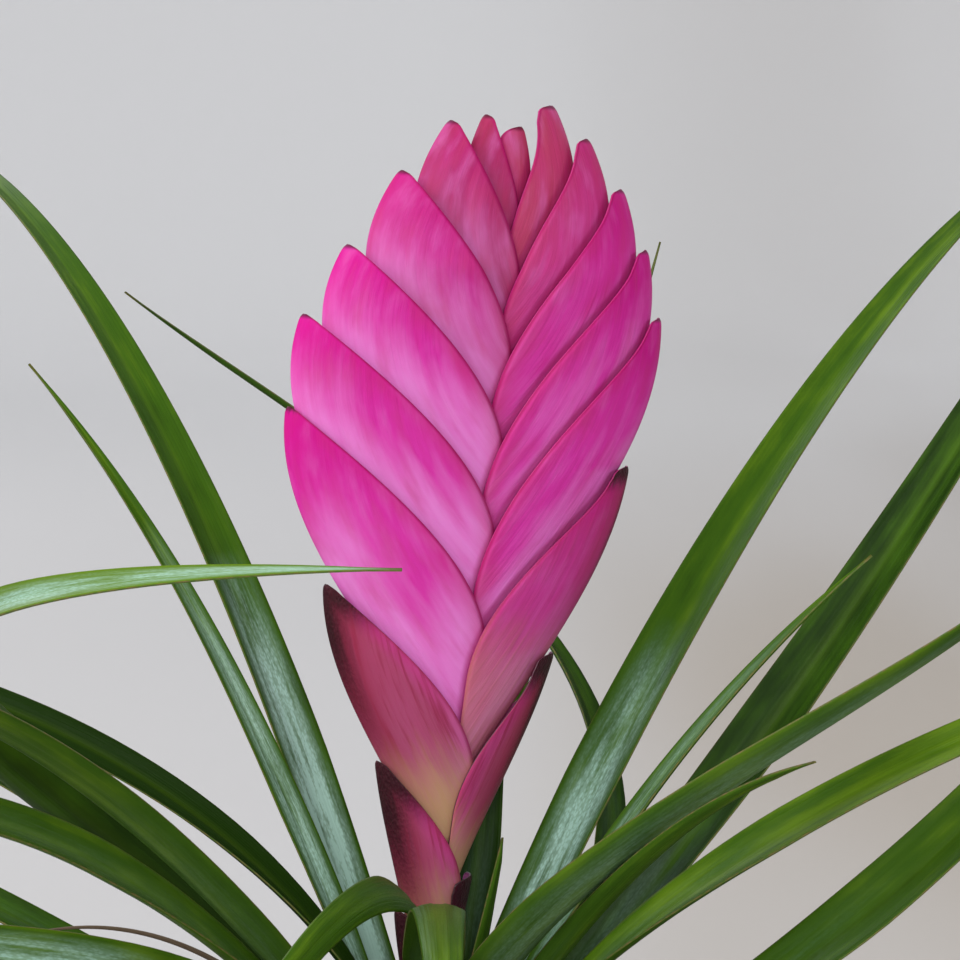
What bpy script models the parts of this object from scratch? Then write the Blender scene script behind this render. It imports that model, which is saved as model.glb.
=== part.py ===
"""Pink quill plant in a clay pot: a rosette of arching leaves round a short crown, and one flat
flower spike of pink bracts that overlap in two ranks. Metres, +Z up, the pot stands on z = 0."""
import math

import bmesh
import bpy
from mathutils import Vector

MM = 0.001
GAP = 0.3

# The pot and its soil, in millimetres.
POT_HEIGHT = 95.0
POT_FOOT_R = 38.0
POT_RIM_R = 56.0
POT_WALL = 4.0
POT_FLOOR = 6.0
RIM_HEIGHT = 22.0
RIM_STEP = 3.0
DRAIN_RING_R = 20.0
DRAIN_R = 5.0
DRAIN_COUNT = 4
SOIL_BELOW_RIM = 10.0
SOIL_TOP = POT_HEIGHT - SOIL_BELOW_RIM

# The crown: the short stem that the leaves and the scape grow on.
CROWN_R = 8.5
CROWN_TOP_R = 4.6
CROWN_DEPTH = 26.0
CROWN_ABOVE = 24.0
CROWN_TOP = SOIL_TOP + CROWN_ABOVE
SOCKET_DEPTH = 6.0

# The flower spike: its axis starts above the crown and leans a little to the right.
SPIKE_X = 0.7
SPIKE_Z = 137.7
SPIKE_LEAN = 5.5
SPIKE_TURN = 24.0
SCAPE_BEND = 0.0024
SCAPE_FOOT = -34.0
RACHIS_R_LOW = 3.0
RACHIS_R_HIGH = 0.9
RACHIS_TOP = 108.0
BRACT_THICK = 0.6
BRACT_STEP = 0.93
KEEL_POWER = 1.3
BRACT_ROWS = 10
BRACT_COLUMNS = 8

# The bracts from the lowest up, left and right in turn, in millimetres along the spike's axis:
# where one joins the rachis, where its tip ends, how far its keel stands out at the widest, and
# how much of its spread comes early (1 is a full rounded shoulder, 0 a straight one).
BRACTS = (
    ("bract_left_1", -28.0, -8.0, 6.8, 0.0),
    ("bract_right_1", -22.0, -1.5, 7.2, 0.0),
    ("bract_left_2", -14.0, 18.0, 13.0, 0.0),
    ("bract_right_2", -6.0, 37.5, 18.8, 0.1),
    ("bract_left_3", 4.0, 48.0, 25.4, 0.5),
    ("bract_right_3", 13.0, 70.5, 29.6, 0.5),
    ("bract_left_4", 23.0, 77.5, 35.0, 0.6),
    ("bract_right_4", 32.0, 96.5, 33.2, 0.6),
    ("bract_left_5", 41.0, 93.0, 34.8, 1.0),
    ("bract_right_5", 49.0, 108.0, 30.8, 1.0),
    ("bract_left_6", 57.0, 105.0, 30.0, 1.0),
    ("bract_right_6", 65.0, 118.0, 27.0, 1.0),
    ("bract_left_7", 72.0, 118.0, 23.2, 1.0),
    ("bract_right_7", 79.0, 126.0, 21.2, 1.0),
    ("bract_left_8", 86.0, 127.0, 15.5, 1.0),
    ("bract_right_8", 92.0, 131.0, 14.0, 1.0),
    ("bract_left_9", 98.0, 128.5, 7.0, 1.0),
    ("bract_right_9", 103.0, 127.0, 5.6, 1.0),
)
OVERLAP_FRONT = {-1: 4.2, 1: -0.4}
OVERLAP_BACK = {-1: 1.0, 1: 1.0}

# The leaves, from the lowest on the crown up: compass direction in degrees (0 right, 90 back,
# 180 left, 270 front), length in millimetres, lean from upright at the base and at the tip, how
# late it bends (1 is an even arch), how far it swings sideways, how far the blade rolls to one
# side, and its greatest width. Two blades turn their sides down where they arch over.
LEAF_THICK = 0.7
LEAF_ROWS = 14
LEAF_COLUMNS = 4
ROLL_DONE = 0.35
ROUNDED_OVER = ("leaf_front_arched", "leaf_front_hooked")
LEAVES = (
    ("leaf_back_low", 127.4, 197, 58.7, 118.2, 1.21, -4.7, 21.4, 9.6),
    ("leaf_right_under", 16.2, 220, 66, 116.3, 1, 1.1, 3, 8.8),
    ("leaf_right_low", 335.2, 232, 68.1, 33, 0.57, 70.4, 38.9, 14.9),
    ("leaf_front_low", 254, 230, 68, 118, 1.2, 0, 0, 9),
    ("leaf_left_lowest", 171, 230, 59.8, 96.3, 1.49, -23.4, -25, 9.1),
    ("leaf_front_right", 286, 210, 65, 116, 1.2, 0, 0, 9),
    ("leaf_back_side", 90.7, 230, 55.7, 123.6, 0.99, -1.8, -0.9, 10.7),
    ("leaf_back_swept", 34, 233, 50.9, 55.6, 0.89, 183.1, 19.2, 6.8),
    ("leaf_left_near", 236.9, 220, 47.4, 116.5, 1.01, -56.8, -72.4, 12.5),
    ("leaf_left_under", 153.8, 230, 48.3, 124.1, 1.4, -9, -27.9, 7.6),
    ("leaf_left_low", 203.8, 210, 40.4, 136.8, 1.58, 45.8, -38.9, 13.1),
    ("leaf_right_broad", 10.8, 240, 42.4, 32.9, 0.63, 18.2, 38.4, 14.3),
    ("leaf_left_folded", 217.7, 240, 38.5, 111.3, 1.51, 38.9, 13.2, 10.9),
    ("leaf_right_long", 331, 220, 35.4, 81.7, 0.75, 23.5, 41.2, 11.1),
    ("leaf_front_curled", 176.6, 253, 40.9, 90.4, 1.2, 177.5, 59.8, 12),
    ("leaf_right_short", 316.8, 122, 33.6, 73.8, 1.15, -23.2, -9.2, 7),
    ("leaf_right_tall", 45, 300, 33.5, 82.8, 1.18, 17.9, 8.7, 13.2),
    ("leaf_right_edge", 287.8, 250, 24, 78.7, 0.5, 195.1, -28.4, 13.4),
    ("leaf_right_slim", 355.6, 115, 28, 51.2, 1.55, 12.2, 28.4, 6.2),
    ("leaf_left_tall", 133.4, 300, 27, 99.7, 1.49, -21.4, 0.6, 11.4),
    ("leaf_back_middle", 74.7, 165, 30.8, 71.1, 1.21, -0.9, -4.5, 7.4),
    ("leaf_left_slim", 162.5, 140, 22.7, 45.6, 1.98, -7, -45.4, 6.1),
    ("leaf_back_upright", 76, 152, 26, 15.6, 1.83, -71.5, 5.1, 6),
    ("leaf_front_arched", 272, 150, 21.9, 146.6, 0.95, 0.1, -1.4, 12),
    ("leaf_left_dark", 184, 230, 20.4, 113.7, 0.74, -11.4, -56.7, 7.5),
    ("leaf_scape_back", 53.7, 125, 18.1, -6, 0.8, 8.3, 59.8, 8.8),
    ("leaf_front_small", 324, 40, 15.5, 12, 0.96, -2.5, 10, 5.3),
    ("leaf_front_hooked", 271.7, 168, 8.4, 173.5, 0.79, -50.9, -63, 8),
)


def mix(low, high, share):
    """The value that lies this share of the way from low to high."""
    return low + (high - low) * share


def leaf_base(rank, count):
    """Height and radius where a leaf joins the crown: rank 0 is the lowest."""
    share = rank / (count - 1)
    height = SOIL_TOP + 2.0 + (CROWN_ABOVE - 5.0) * share
    return height, mix(CROWN_R, CROWN_TOP_R, share) + GAP + LEAF_THICK


def leaf_stations(leaf, height, radius, rows):
    """Stations along a leaf's middle: (place, along, across, up side, share of its length)."""
    name, compass, length, lean_base, lean_tip, bend, swing, roll, width = leaf
    turn = math.radians(compass)
    place = Vector((radius * math.cos(turn), radius * math.sin(turn), height))
    fine = 8
    stations = []
    for step in range(rows * fine + 1):
        share = step / (rows * fine)
        lean = math.radians(mix(lean_base, lean_tip, share**bend))
        turn = math.radians(compass + swing * share)
        outward = Vector((math.cos(turn), math.sin(turn), 0.0))
        along = outward * math.sin(lean) + Vector((0, 0, math.cos(lean)))
        level = Vector((math.sin(turn), -math.cos(turn), 0.0))
        rolled = math.radians(roll * min(1.0, share / ROLL_DONE))
        across = level * math.cos(rolled) - level.cross(along) * math.sin(rolled)
        if step % fine == 0:
            stations.append((place.copy(), along, across, across.cross(along), share))
        place += along * length / (rows * fine)
    return stations


def leaf_half_width(leaf, share):
    """Half the leaf's width: full from the sheath to the middle, then a long taper."""
    sheath = mix(0.75, 1.0, min(1.0, share / 0.2))
    return max(0.5 * leaf[8] * sheath * (1.0 - share**1.8), 0.35)


def leaf_surface(leaf, height, radius, rows, columns):
    """Rows of points over the leaf: a channel that is deep at the base and opens towards the tip."""
    surface = []
    turned = 1.8 if leaf[0] in ROUNDED_OVER else 0.0
    for place, along, across, up, share in leaf_stations(leaf, height, radius, rows):
        hollow = 1.0 - turned * max(0.0, min(1.0, (share - 0.08) / 0.22))
        half = leaf_half_width(leaf, share)
        curl = mix(1.0 / (radius + 1.0), 0.75 / half, min(1.0, share / 0.12))
        curl = mix(curl, 0.55 / half, share)
        row = []
        for column in range(columns + 1):
            angle = (2.0 * column / columns - 1.0) * half * curl
            rise = hollow * (1.0 - math.cos(angle)) / curl
            row.append(place + across * math.sin(angle) / curl + up * rise)
        surface.append(row)
    return surface


def spike_point(height, side, front):
    """A place in the flower spike's own directions: along its axis, across the fan, and towards
    its front face."""
    lean = math.radians(SPIKE_LEAN)
    turn = math.radians(SPIKE_TURN)
    axis = Vector((math.sin(lean), 0.0, math.cos(lean)))
    level = Vector((math.cos(lean), 0.0, -math.sin(lean)))
    back = Vector((0.0, 1.0, 0.0))
    across = level * math.cos(turn) + back * math.sin(turn)
    forward = level * math.sin(turn) - back * math.cos(turn)
    foot = Vector((SPIKE_X + SCAPE_BEND * min(0.0, height) ** 2, 0.0, SPIKE_Z))
    return foot + axis * height + across * side + forward * front


def rachis_radius(height):
    share = (height + 30.0) / (RACHIS_TOP + 30.0)
    return mix(RACHIS_R_LOW, RACHIS_R_HIGH, max(0.0, min(1.0, share)))


def layers_at(height):
    """How many bracts have joined the rachis below this height, as a smooth count."""
    joins = [bract[1] for bract in BRACTS]
    if height <= joins[0]:
        return 0.0
    for index in range(len(joins) - 1):
        if height < joins[index + 1]:
            return index + (height - joins[index]) / (joins[index + 1] - joins[index])
    return len(joins) - 1.0


def bract_depth(index, height):
    """How far a bract's wing stands in front of the axis: each bract lies outside all later ones."""
    return rachis_radius(height) + GAP + BRACT_THICK + BRACT_STEP * (layers_at(height) - index)


def bract_keel(index, height):
    """How far the bract's folded edge stands out to the side of the axis."""
    name, join, tip, reach, early = BRACTS[index]
    share = (height - join) / (tip - join)
    arc = 90.0 + 6.0 * max(0.0, index - 5.5)
    rounded = math.sin(math.radians(arc * share ** mix(1.3, 1.0, early)))
    straight = share**1.15
    start = bract_depth(index, join)
    return start + (reach - start) * mix(straight, rounded, min(1.0, 0.4 + early))


def bract_margin(index, height, overlap):
    """How far to the side the bract's free margin lies: at the keel by the tip, over the middle
    line lower down."""
    name, join, tip, reach, early = BRACTS[index]
    edge = bract_keel(index, tip)
    drop = min(1.0, (tip - height) / (0.78 * (tip - join)))
    return edge - (edge + overlap) * math.sin(0.5 * math.pi * drop)


def bract_surface(index, rows, columns):
    """Rows of points over the bract's outer face, from its join to its tip, each running from the
    back margin round the keel to the front margin."""
    name, join, tip, reach, early = BRACTS[index]
    side = -1 if "left" in name else 1
    surface = []
    for row in range(rows + 1):
        share = row / rows
        share = share * (1.6 - 0.6 * share)
        height = mix(join, tip - 0.4, share)
        keel = bract_keel(index, height)
        depth = bract_depth(index, height)
        ends = []
        for overlap in (OVERLAP_BACK[side], OVERLAP_FRONT[side]):
            margin = bract_margin(index, height, overlap)
            ends.append(math.acos(max(-0.95, min(0.99, margin / keel))))
        points = []
        for column in range(columns + 1):
            angle = mix(-ends[0], ends[1], column / columns)
            out = keel * math.cos(angle)
            front = math.copysign(depth * abs(math.sin(angle)) ** KEEL_POWER, angle)
            points.append(spike_point(height, side * out, front))
        surface.append(points)
    return surface


# ---- Blender side: materials, meshes and the seven kinds of piece.


def material(name, colour, roughness, metallic=0.0):
    made = bpy.data.materials.new(name)
    made.use_nodes = True
    shader = made.node_tree.nodes["Principled BSDF"]
    shader.inputs["Base Color"].default_value = (*colour, 1.0)
    shader.inputs["Roughness"].default_value = roughness
    shader.inputs["Metallic"].default_value = metallic
    made.diffuse_color = (*colour, 1.0)
    return made


def add_object(name, mesh, finish, collection):
    made = bpy.data.objects.new(name, mesh)
    mesh.materials.append(finish)
    collection.objects.link(made)
    return made


def bent_sheet(name, surface, thickness, finish, collection):
    """A flat grid bent onto the surface's points, then thickened behind its outer face."""
    rows = len(surface)
    columns = len(surface[0])
    shape = bmesh.new()
    bmesh.ops.create_grid(shape, x_segments=columns - 1, y_segments=rows - 1, size=0.5)
    for vertex in shape.verts:
        column = round((vertex.co.x + 0.5) * (columns - 1))
        row = round((vertex.co.y + 0.5) * (rows - 1))
        vertex.co = surface[row][column] * MM
    mesh = bpy.data.meshes.new(name)
    shape.to_mesh(mesh)
    shape.free()
    sheet = add_object(name, mesh, finish, collection)
    solid = sheet.modifiers.new("thickness", "SOLIDIFY")
    solid.thickness = thickness * MM
    solid.offset = -1.0
    return sheet


def turned_body(name, profile, steps, finish, collection):
    """A profile of (radius, height) points, from the top down its outer side, turned round Z."""
    curve = bpy.data.meshes.new(name)
    points = [(radius * MM, 0.0, height * MM) for radius, height in profile]
    curve.from_pydata(points, [(i, i + 1) for i in range(len(points) - 1)], [])
    body = add_object(name, curve, finish, collection)
    screw = body.modifiers.new("turned", "SCREW")
    screw.axis = "Z"
    screw.steps = steps
    screw.render_steps = steps
    screw.use_merge_vertices = True
    screw.merge_threshold = 0.00001
    return body


def cutter(name, radius, low, high, places, collection):
    """Upright cylinders in one mesh, kept out of the render, for holes."""
    shape = bmesh.new()
    for x, y in places:
        made = bmesh.ops.create_cone(
            shape, cap_ends=True, segments=20, radius1=radius * MM, radius2=radius * MM,
            depth=(high - low) * MM,
        )
        middle = Vector((x, y, 0.5 * (low + high))) * MM
        bmesh.ops.translate(shape, verts=made["verts"], vec=middle)
    mesh = bpy.data.meshes.new(name)
    shape.to_mesh(mesh)
    shape.free()
    made = bpy.data.objects.new(name, mesh)
    made.hide_render = True
    made.display_type = "WIRE"
    collection.objects.link(made)
    return made


def cut(target, tool):
    hole = target.modifiers.new("hole", "BOOLEAN")
    hole.operation = "DIFFERENCE"
    hole.solver = "EXACT"
    hole.object = tool


def pot_wall_radius(height):
    """Outer radius of the pot's tapered wall at this height."""
    wall_top = POT_RIM_R - RIM_STEP
    return mix(POT_FOOT_R, wall_top, height / POT_HEIGHT)


def pot_inside():
    """Radius of the pot's inside at its floor and at its mouth."""
    return pot_wall_radius(POT_FLOOR) - POT_WALL, POT_RIM_R - POT_WALL - 1.0


def make_pot(collection, cutters):
    clay = material("clay", (0.50, 0.21, 0.11), 0.85)
    rim_low = POT_HEIGHT - RIM_HEIGHT
    inner_foot, inner_top = pot_inside()
    profile = (
        (inner_top, POT_HEIGHT),
        (POT_RIM_R - 1.5, POT_HEIGHT),
        (POT_RIM_R, POT_HEIGHT - 1.5),
        (POT_RIM_R - 1.0, rim_low + 1.0),
        (POT_RIM_R - 2.0, rim_low),
        (pot_wall_radius(rim_low), rim_low - 1.0),
        (POT_FOOT_R, 1.5),
        (POT_FOOT_R - 1.5, 0.0),
        (0.0, 0.0),
        (0.0, POT_FLOOR),
        (inner_foot, POT_FLOOR),
        (inner_top, POT_HEIGHT),
    )
    pot = turned_body("pot", profile, 44, clay, collection)
    ring = []
    for index in range(DRAIN_COUNT):
        turn = 2.0 * math.pi * (index + 0.5) / DRAIN_COUNT
        ring.append((DRAIN_RING_R * math.cos(turn), DRAIN_RING_R * math.sin(turn)))
    cut(pot, cutter("drain_cutter", DRAIN_R, -2.0, POT_FLOOR + 2.0, ring, cutters))


def make_soil(collection, cutters):
    """Potting bark: a turned body with a lumpy top and a plain hole for the crown."""
    bark = material("bark_soil", (0.10, 0.06, 0.035), 0.95)
    floor = POT_FLOOR + GAP
    inner_foot, inner_top = pot_inside()
    fill = (SOIL_TOP - POT_FLOOR) / (POT_HEIGHT - POT_FLOOR)
    low_r = inner_foot - 1.5 * GAP
    high_r = mix(inner_foot, inner_top, fill) - 1.5 * GAP
    profile = (
        (0.0, SOIL_TOP),
        (0.30 * high_r, SOIL_TOP - 0.4),
        (0.50 * high_r, SOIL_TOP + 0.6),
        (0.70 * high_r, SOIL_TOP - 0.5),
        (0.86 * high_r, SOIL_TOP + 0.8),
        (high_r, SOIL_TOP - 1.0),
        (low_r, floor),
        (0.0, floor),
    )
    soil = turned_body("soil", profile, 36, bark, collection)
    low = SOIL_TOP - CROWN_DEPTH
    middle = ((0.0, 0.0),)
    cut(soil, cutter("crown_cutter", CROWN_R + GAP, low, SOIL_TOP + 5.0, middle, cutters))


def make_crown(collection, cutters):
    """The short stem, tapered above the soil, with a socket that the scape grows out of."""
    stem = material("crown_stem", (0.32, 0.30, 0.12), 0.7)
    profile = (
        (0.0, CROWN_TOP),
        (CROWN_TOP_R - 0.6, CROWN_TOP),
        (CROWN_TOP_R, CROWN_TOP - 0.8),
        (CROWN_R, SOIL_TOP + 2.0),
        (CROWN_R, SOIL_TOP - CROWN_DEPTH + GAP + 1.0),
        (CROWN_R - 1.0, SOIL_TOP - CROWN_DEPTH + GAP),
        (0.0, SOIL_TOP - CROWN_DEPTH + GAP),
    )
    crown = turned_body("crown", profile, 28, stem, collection)
    middle = ((0.0, 0.0),)
    hole_r = RACHIS_R_LOW + 2.0 * GAP
    low = CROWN_TOP - SOCKET_DEPTH
    cut(crown, cutter("scape_cutter", hole_r, low, CROWN_TOP + 5.0, middle, cutters))


def make_scape(collection):
    """The flower stalk and the axis of the spike in one: a tapering tube on a smooth curve."""
    stalk = material("scape_stem", (0.45, 0.20, 0.08), 0.5)
    curve = bpy.data.curves.new("scape", "CURVE")
    curve.dimensions = "3D"
    curve.bevel_depth = MM
    curve.bevel_resolution = 2
    curve.use_fill_caps = True
    heights = [SCAPE_FOOT, -28.0, -20.0, -12.0, 0.0, 30.0, 60.0, 90.0, RACHIS_TOP]
    places = [spike_point(height, 0.0, 0.0) for height in heights]
    radii = [rachis_radius(height) for height in heights]
    spline = curve.splines.new("POLY")
    spline.points.add(len(places) - 1)
    for point, place, radius in zip(spline.points, places, radii):
        point.co = (*(place * MM), 1.0)
        point.radius = radius
    curve.materials.append(stalk)
    scape = bpy.data.objects.new("scape", curve)
    collection.objects.link(scape)


def make_bracts(collection):
    for index, bract in enumerate(BRACTS):
        height = (index + 1) / len(BRACTS)
        colour = (mix(0.42, 0.60, height), 0.035, mix(0.18, 0.30, height))
        finish = material(bract[0], colour, 0.45)
        surface = bract_surface(index, BRACT_ROWS, BRACT_COLUMNS)
        if "right" in bract[0]:
            surface = [row[::-1] for row in surface]
        bent_sheet(bract[0], surface, BRACT_THICK, finish, collection)


def make_leaves(collection):
    for rank, leaf in enumerate(LEAVES):
        finish = material(leaf[0], (0.045, 0.14, 0.025), 0.35)
        height, radius = leaf_base(rank, len(LEAVES))
        surface = leaf_surface(leaf, height, radius, LEAF_ROWS, LEAF_COLUMNS)
        bent_sheet(leaf[0], surface, LEAF_THICK, finish, collection)


def main():
    for old in list(bpy.data.objects):
        bpy.data.objects.remove(old, do_unlink=True)
    plant = bpy.data.collections.new("pink_quill_plant")
    cutters = bpy.data.collections.new("cutters")
    for made in (plant, cutters):
        bpy.context.scene.collection.children.link(made)
    make_pot(plant, cutters)
    make_soil(plant, cutters)
    make_crown(plant, cutters)
    make_scape(plant)
    make_bracts(plant)
    make_leaves(plant)


main()
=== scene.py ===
# %% [markdown]
# # A pink quill plant, dressed for its close-up
#
# The plant is a small bromeliad: a rosette of narrow arching leaves, and one flat flower spike of
# pink bracts, which are coloured leaves folded along their middle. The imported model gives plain
# solids for all of it. This lesson lays a finer piece over each solid, with the same rule of
# growth, and gives every surface a finish made from nodes.

# %% Load the plain solids
import math
import random

import bmesh
import bpy
from mathutils import Matrix, Vector, noise


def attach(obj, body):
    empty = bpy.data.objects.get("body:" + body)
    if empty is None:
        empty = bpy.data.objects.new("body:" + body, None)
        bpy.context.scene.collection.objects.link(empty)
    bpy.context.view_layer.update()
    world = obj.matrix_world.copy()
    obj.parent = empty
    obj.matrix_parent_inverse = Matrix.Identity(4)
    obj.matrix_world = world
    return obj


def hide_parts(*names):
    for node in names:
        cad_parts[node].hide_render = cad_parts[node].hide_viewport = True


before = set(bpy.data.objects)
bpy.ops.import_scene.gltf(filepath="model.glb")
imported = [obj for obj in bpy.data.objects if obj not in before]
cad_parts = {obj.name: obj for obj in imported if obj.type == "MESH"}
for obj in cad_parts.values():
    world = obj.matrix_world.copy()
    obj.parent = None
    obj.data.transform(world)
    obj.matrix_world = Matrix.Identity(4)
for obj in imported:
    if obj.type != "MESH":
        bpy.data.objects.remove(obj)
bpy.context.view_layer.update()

MM = 0.001
ROOT = "root"


def mix(low, high, share):
    """The value that lies this share of the way from low to high."""
    return low + (high - low) * share


def clamp(value, low=0.0, high=1.0):
    return max(low, min(high, value))


# %% [markdown]
# ## The camera
#
# A flower spike is looked at almost level, from a step away. A long lens keeps the bracts from
# bulging, and it leaves the pot below the picture. The camera is set from one aim point, so that
# a change of distance doesn't lose the spike.

# %% Camera
CAMERA_AIM = Vector((0.0085, 0.0, 0.204))
CAMERA_DISTANCE = 0.600
CAMERA_ELEVATION = math.radians(6.0)
CAMERA_LENS = 132.35


def make_camera():
    data = bpy.data.cameras.new("portrait_camera")
    data.lens = CAMERA_LENS
    data.sensor_width = 36.0
    data.dof.use_dof = False
    camera = bpy.data.objects.new("portrait_camera", data)
    back = Vector((0.0, -math.cos(CAMERA_ELEVATION), math.sin(CAMERA_ELEVATION)))
    camera.location = CAMERA_AIM + back * CAMERA_DISTANCE
    camera.rotation_mode = "QUATERNION"
    camera.rotation_quaternion = (-back).to_track_quat("-Z", "Y")
    bpy.context.scene.collection.objects.link(camera)
    bpy.context.scene.camera = camera
    return camera


camera = make_camera()
print("camera stands at", [round(value, 3) for value in camera.location])

# %% [markdown]
# ## Small helpers for nodes
#
# Every finish below is a small tree of nodes. Writing each tree by hand would hide the idea in
# wiring, so a few helpers add a node and join its sockets in one call.


# %% Node helpers
def feed(tree, socket, value):
    """Joins a socket to another one, or sets a plain value on it."""
    if isinstance(value, bpy.types.NodeSocket):
        tree.links.new(value, socket)
    elif isinstance(value, tuple) and len(value) == 3 and socket.type == "RGBA":
        socket.default_value = (*value, 1.0)
    else:
        socket.default_value = value


def calc(tree, operation, first, second=0.0, third=0.0, limit=False):
    node = tree.nodes.new("ShaderNodeMath")
    node.operation = operation
    node.use_clamp = limit
    for socket, value in zip(node.inputs, (first, second, third)):
        feed(tree, socket, value)
    return node.outputs[0]


def scaled(tree, value, factor, shift, limit=False):
    """The value times a factor, plus a shift."""
    return calc(tree, "MULTIPLY_ADD", value, factor, shift, limit)


def times(tree, *factors):
    """The product of two or more values."""
    product = factors[0]
    for factor in factors[1:]:
        product = calc(tree, "MULTIPLY", product, factor)
    return product


def fade(tree, value, start, end, low=0.0, high=1.0):
    """A smooth change from low to high while value goes from start to end."""
    node = tree.nodes.new("ShaderNodeMapRange")
    node.interpolation_type = "SMOOTHSTEP"
    for name, amount in (
        ("Value", value), ("From Min", start), ("From Max", end), ("To Min", low), ("To Max", high),
    ):
        feed(tree, node.inputs[name], amount)
    return node.outputs["Result"]


def blend(tree, share, first, second):
    """A colour that goes from first to second with share."""
    node = tree.nodes.new("ShaderNodeMix")
    node.data_type = "RGBA"
    feed(tree, node.inputs[0], share)
    feed(tree, node.inputs[6], first)
    feed(tree, node.inputs[7], second)
    return node.outputs[2]


def lay(tree, colour, *layers):
    """Paints each (share, colour) layer over the last, as a painter does."""
    for share, paint in layers:
        colour = blend(tree, share, colour, paint)
    return colour


def stretched(tree, vector, scale, shift=(0.0, 0.0, 0.0)):
    node = tree.nodes.new("ShaderNodeMapping")
    feed(tree, node.inputs["Vector"], vector)
    feed(tree, node.inputs["Scale"], scale)
    feed(tree, node.inputs["Location"], shift)
    return node.outputs[0]


def cloud(tree, vector, scale, detail=3.0, roughness=0.5):
    """Soft noise, 0 to 1."""
    node = tree.nodes.new("ShaderNodeTexNoise")
    feed(tree, node.inputs["Vector"], vector)
    feed(tree, node.inputs["Scale"], scale)
    feed(tree, node.inputs["Detail"], detail)
    feed(tree, node.inputs["Roughness"], roughness)
    return node.outputs["Fac"]


def cells(tree, vector, scale):
    """How far a place is from the middle of its own scattered cell."""
    node = tree.nodes.new("ShaderNodeTexVoronoi")
    feed(tree, node.inputs["Vector"], vector)
    feed(tree, node.inputs["Scale"], scale)
    return node.outputs["Distance"]


def attribute(tree, name):
    node = tree.nodes.new("ShaderNodeAttribute")
    node.attribute_name = name
    return node.outputs["Fac"]


def uv_place(tree, name):
    node = tree.nodes.new("ShaderNodeUVMap")
    node.uv_map = name
    return node.outputs["UV"]


def object_place(tree):
    return tree.nodes.new("ShaderNodeTexCoord").outputs["Object"]


def split(tree, vector):
    """The parts X, Y and Z of a vector."""
    node = tree.nodes.new("ShaderNodeSeparateXYZ")
    feed(tree, node.inputs[0], vector)
    return node.outputs


def bumped(tree, height, distance, strength=1.0):
    node = tree.nodes.new("ShaderNodeBump")
    feed(tree, node.inputs["Height"], height)
    feed(tree, node.inputs["Distance"], distance)
    feed(tree, node.inputs["Strength"], strength)
    return node.outputs["Normal"]


def new_finish(name, **plain):
    """A material with its shader. The plain values are set on the shader's own sockets."""
    made = bpy.data.materials.new(name)
    made.use_nodes = True
    shader = made.node_tree.nodes["Principled BSDF"]
    for socket, value in plain.items():
        shader.inputs[socket.replace("_", " ")].default_value = value
    return made, made.node_tree, shader


def start_group(name, inputs, outputs):
    """An empty node group with named sockets: (name, kind, value)."""
    group = bpy.data.node_groups.new(name, "ShaderNodeTree")
    for socket, kind, value in inputs:
        made = group.interface.new_socket(socket, in_out="INPUT", socket_type="NodeSocket" + kind)
        if value is not None:
            made.default_value = value
    for socket, kind in outputs:
        group.interface.new_socket(socket, in_out="OUTPUT", socket_type="NodeSocket" + kind)
    way_in = group.nodes.new("NodeGroupInput")
    way_out = group.nodes.new("NodeGroupOutput")
    return group, way_in.outputs, way_out.inputs


def use_group(tree, group, **values):
    node = tree.nodes.new("ShaderNodeGroup")
    node.node_tree = group
    for socket, value in values.items():
        feed(tree, node.inputs[socket.replace("_", " ")], value)
    return node.outputs


# %% [markdown]
# ## Small helpers for shapes
#
# Each shape is built as a bmesh and turned into an object at the origin, with its finish. A pot,
# a bed of soil or a curved backdrop is a profile that is turned round the upright axis.


# %% Shape helpers
def finish_mesh(name, shape, *finishes, smooth=True):
    """An object made from a shape, which is used up."""
    mesh = bpy.data.meshes.new(name)
    shape.to_mesh(mesh)
    shape.free()
    mesh.polygons.foreach_set("use_smooth", [smooth] * len(mesh.polygons))
    for finish in finishes:
        mesh.materials.append(finish)
    made = bpy.data.objects.new(name, mesh)
    bpy.context.scene.collection.objects.link(made)
    return made


def spun(profile, steps):
    """A closed body turned round the upright axis from (radius, height) points in millimetres."""
    shape = bmesh.new()
    made = [shape.verts.new((radius * MM, 0.0, height * MM)) for radius, height in profile]
    edges = [shape.edges.new(pair) for pair in zip(made, made[1:])]
    if profile[0][0] > 0.0:
        edges.append(shape.edges.new((made[-1], made[0])))
    bmesh.ops.spin(
        shape, geom=made + edges, cent=(0, 0, 0), axis=(0, 0, 1), angle=2 * math.pi,
        steps=steps, use_merge=True,
    )
    bmesh.ops.remove_doubles(shape, verts=shape.verts, dist=1e-6)
    bmesh.ops.recalc_face_normals(shape, faces=shape.faces)
    return shape


print("shape helpers:", finish_mesh.__name__, spun.__name__)

# %% [markdown]
# ## Studio: floor, backdrop and light
#
# The floor sweeps up into a round wall, like a roll of paper in a studio, so no line shows behind
# the plant from any side. The paper's colour carries painted shade: darker near the middle of the
# floor than on the far floor and wall, with warm soft patches of painted shadow on its right. A
# broad lamp high on the left gives the soft light that models the folded bracts, a weak cool one
# in front adds gloss to the leaves, whose pale sheen is mostly painted into their colour, and the
# open top lets the pale sky in.

# %% Studio
SWEEP_FLAT = 3.3
SWEEP_BEND = 1.2
SWEEP_TOP = 3.2
BEND_STEPS = 16
PAPER_NEAR_SHADED = (0.50, 0.49, 0.485)
PAPER_FAR = (0.79, 0.785, 0.78)
PAPER_WARM_SHADOW = (0.37, 0.33, 0.285)


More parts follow.
